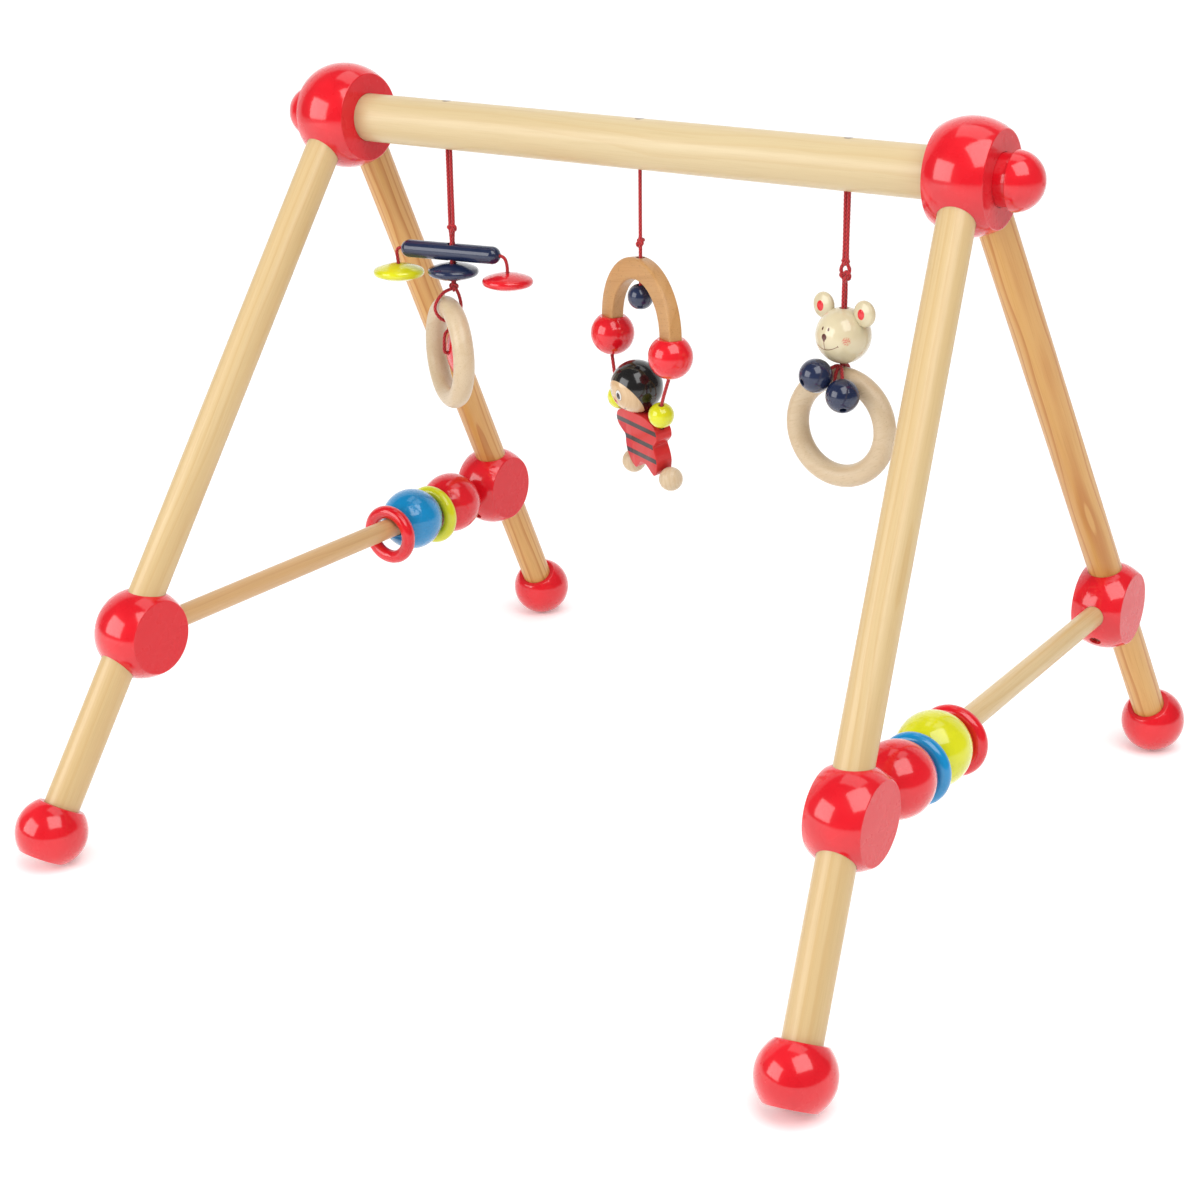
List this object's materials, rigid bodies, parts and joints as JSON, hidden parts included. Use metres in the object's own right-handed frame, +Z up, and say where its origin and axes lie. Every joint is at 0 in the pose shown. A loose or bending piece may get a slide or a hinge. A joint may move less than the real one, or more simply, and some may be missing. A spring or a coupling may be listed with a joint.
{
  "type": "activity play gym",
  "caption": "Wooden A-frame play gym with a round crossbar, ball joints, sliding beads on the spreaders and cord-hung toys: discs and rings, an acrobat doll, a bear.",
  "frame": {"origin": "on the floor under the middle of the crossbar", "axes": "+X along the crossbar to the right, -Y to the front, +Z up"},
  "size_m": [0.5706, 0.5704, 0.467],
  "materials": {
    "red_lacquer": "glossy red lacquer over wood",
    "yellow_lacquer": "glossy yellow-green lacquer over wood",
    "navy_lacquer": "glossy navy lacquer over wood",
    "blue_lacquer": "glossy blue lacquer over wood",
    "pale_dowel": "clear satin lacquer over pale dowel",
    "bar_dowel": "clear satin lacquer over pale dowel",
    "beech": "clear satin lacquer over beech",
    "pale_beech": "clear satin lacquer over pale beech",
    "cream_lacquer": "cream lacquer with a small painted face",
    "natural_lacquer": "clear lacquer over wood with a painted black cap and a small face",
    "striped_red": "red lacquer with dark grey painted stripes",
    "red_cord": "round braided red cord",
    "plated_steel": "plated steel"
  },
  "bodies": {
    "frame": {"crossbar": "bar_dowel", "left_top_joint": "red_lacquer", "right_top_joint": "red_lacquer", "front_left_leg": "pale_dowel", "back_left_leg": "pale_dowel", "front_right_leg": "pale_dowel", "back_right_leg": "pale_dowel", "front_left_foot": "red_lacquer", "back_left_foot": "red_lacquer", "front_right_foot": "red_lacquer", "back_right_foot": "red_lacquer", "front_left_joint": "red_lacquer", "back_left_joint": "red_lacquer", "front_right_joint": "red_lacquer", "back_right_joint": "red_lacquer", "front_left_screw": "plated_steel", "back_left_screw": "plated_steel", "front_right_screw": "plated_steel", "back_right_screw": "plated_steel", "left_spreader": "pale_dowel", "right_spreader": "pale_dowel"},
    "left_knob": {"left_end_knob": "red_lacquer", "left_knob_bolt": "plated_steel"},
    "right_knob": {"right_end_knob": "red_lacquer", "right_knob_bolt": "plated_steel"},
    "left_red_bead": {"left_red_bead": "red_lacquer"},
    "left_yellow_ring": {"left_yellow_ring": "yellow_lacquer"},
    "left_blue_bead": {"left_blue_bead": "blue_lacquer"},
    "left_red_ring": {"left_red_ring": "red_lacquer"},
    "right_red_bead": {"right_red_bead": "red_lacquer"},
    "right_blue_ring": {"right_blue_ring": "blue_lacquer"},
    "right_yellow_bead": {"right_yellow_bead": "yellow_lacquer"},
    "right_red_ring": {"right_red_ring": "red_lacquer"},
    "left_hanger": {"spinner_cord": "red_cord", "spinner_rod": "navy_lacquer", "disc_cord": "red_cord", "ring_loop_cord": "red_cord"},
    "navy_disc": {"navy_disc": "navy_lacquer"},
    "yellow_disc": {"yellow_disc": "yellow_lacquer"},
    "red_disc": {"red_disc": "red_lacquer"},
    "ring_disc": {"ring_disc": "red_lacquer"},
    "left_grasp_ring": {"left_grasp_ring": "pale_beech"},
    "arch_hanger": {"acrobat_cord": "red_cord", "arch": "beech", "left_arch_ball": "red_lacquer", "right_arch_ball": "red_lacquer"},
    "arch_bead": {"arch_bead": "navy_lacquer"},
    "doll": {"doll_cord": "red_cord", "doll_body": "striped_red", "doll_head": "natural_lacquer", "left_sole": "pale_beech", "right_sole": "pale_beech"},
    "left_hand": {"left_hand": "yellow_lacquer"},
    "right_hand": {"right_hand": "yellow_lacquer"},
    "bear_hanger": {"bear_cord": "red_cord", "paw_cord": "red_cord"},
    "bear_head": {"bear_head": "cream_lacquer"},
    "left_bear_paw": {"left_bear_paw": "navy_lacquer"},
    "right_bear_paw": {"right_bear_paw": "navy_lacquer"},
    "right_grasp_ring": {"right_grasp_ring": "pale_beech"}
  },
  "joints": [
    {"name": "left_knob_turn", "type": "hinge", "parent": "frame", "child": "left_knob", "pos_m": [-0.22, 0, 0.434], "axis": [-1, 0, 0], "continuous": true},
    {"name": "right_knob_turn", "type": "hinge", "parent": "frame", "child": "right_knob", "pos_m": [0.22, 0, 0.434], "axis": [1, 0, 0], "continuous": true},
    {"name": "left_red_bead_slide", "type": "slide", "parent": "frame", "child": "left_red_bead", "axis": [0, -1, 0], "range_m": [-0.0015, 0.06]},
    {"name": "left_yellow_ring_slide", "type": "slide", "parent": "left_red_bead", "child": "left_yellow_ring", "axis": [0, -1, 0], "range_m": [0, 0.02]},
    {"name": "left_blue_bead_slide", "type": "slide", "parent": "left_yellow_ring", "child": "left_blue_bead", "axis": [0, -1, 0], "range_m": [0, 0.06]},
    {"name": "left_red_ring_slide", "type": "slide", "parent": "left_blue_bead", "child": "left_red_ring", "axis": [0, -1, 0], "range_m": [0, 0.065]},
    {"name": "right_red_bead_slide", "type": "slide", "parent": "frame", "child": "right_red_bead", "axis": [0, 1, 0], "range_m": [-0.0015, 0.06]},
    {"name": "right_blue_ring_slide", "type": "slide", "parent": "right_red_bead", "child": "right_blue_ring", "axis": [0, 1, 0], "range_m": [0, 0.02]},
    {"name": "right_yellow_bead_slide", "type": "slide", "parent": "right_blue_ring", "child": "right_yellow_bead", "axis": [0, 1, 0], "range_m": [0, 0.06]},
    {"name": "right_red_ring_slide", "type": "slide", "parent": "right_yellow_bead", "child": "right_red_ring", "axis": [0, 1, 0], "range_m": [0, 0.065]},
    {"name": "left_toy_swing", "type": "hinge", "parent": "frame", "child": "left_hanger", "pos_m": [-0.1387, 0, 0.4195], "axis": [1, 0, 0], "range_deg": [-35, 35]},
    {"name": "navy_disc_spin", "type": "hinge", "parent": "left_hanger", "child": "navy_disc", "pos_m": [-0.1387, 0, 0.3415], "axis": [0, 0, 1], "continuous": true},
    {"name": "yellow_disc_spin", "type": "hinge", "parent": "left_hanger", "child": "yellow_disc", "pos_m": [-0.1776, -0.00686, 0.338], "axis": [0, 0, 1], "continuous": true},
    {"name": "red_disc_spin", "type": "hinge", "parent": "left_hanger", "child": "red_disc", "pos_m": [-0.10078, 0.00668, 0.338], "axis": [0, 0, 1], "continuous": true},
    {"name": "left_ring_rock", "type": "hinge", "parent": "left_hanger", "child": "left_grasp_ring", "pos_m": [-0.14198, -0.00259, 0.31825], "axis": [0.5736, 0.8192, 0], "range_deg": [-14, 14]},
    {"name": "ring_disc_spin", "type": "hinge", "parent": "left_hanger", "child": "ring_disc", "pos_m": [-0.1387, 0, 0.2885], "axis": [0.5736, 0.8192, 0], "continuous": true},
    {"name": "middle_toy_swing", "type": "hinge", "parent": "frame", "child": "arch_hanger", "pos_m": [0.004, 0, 0.4195], "axis": [1, 0, 0], "range_deg": [-35, 35]},
    {"name": "arch_bead_spin", "type": "hinge", "parent": "arch_hanger", "child": "arch_bead", "pos_m": [0.004, 0, 0.342], "axis": [0, 0, 1], "continuous": true},
    {"name": "doll_swing", "type": "hinge", "parent": "arch_hanger", "child": "doll", "pos_m": [0.004, 0, 0.29825], "axis": [0.8829, -0.4695, 0], "range_deg": [-40, 40]},
    {"name": "left_hand_spin", "type": "hinge", "parent": "doll", "child": "left_hand", "pos_m": [-0.02002, 0.01277, 0.273], "axis": [-0.3673, -0.0094, 0.93], "continuous": true},
    {"name": "right_hand_spin", "type": "hinge", "parent": "doll", "child": "right_hand", "pos_m": [0.0259, -0.01164, 0.273], "axis": [0.1976, -0.3098, 0.93], "continuous": true},
    {"name": "right_toy_swing", "type": "hinge", "parent": "frame", "child": "bear_hanger", "pos_m": [0.1437, 0, 0.4195], "axis": [1, 0, 0], "range_deg": [-35, 35]},
    {"name": "bear_head_spin", "type": "hinge", "parent": "bear_hanger", "child": "bear_head", "pos_m": [0.1437, 0, 0.3357], "axis": [0, 0, 1], "continuous": true},
    {"name": "left_paw_spin", "type": "hinge", "parent": "bear_hanger", "child": "left_bear_paw", "pos_m": [0.1352, -0.0172, 0.314], "axis": [0.5161, 0.8073, 0.2861], "continuous": true},
    {"name": "right_paw_spin", "type": "hinge", "parent": "bear_hanger", "child": "right_bear_paw", "pos_m": [0.1532, -0.0176, 0.3045], "axis": [-0.3942, 0.5892, 0.7053], "continuous": true},
    {"name": "right_ring_rock", "type": "hinge", "parent": "bear_hanger", "child": "right_grasp_ring", "pos_m": [0.1437, 0, 0.31025], "axis": [0.0523, 0.9986, 0], "range_deg": [-14, 14]}
  ]
}
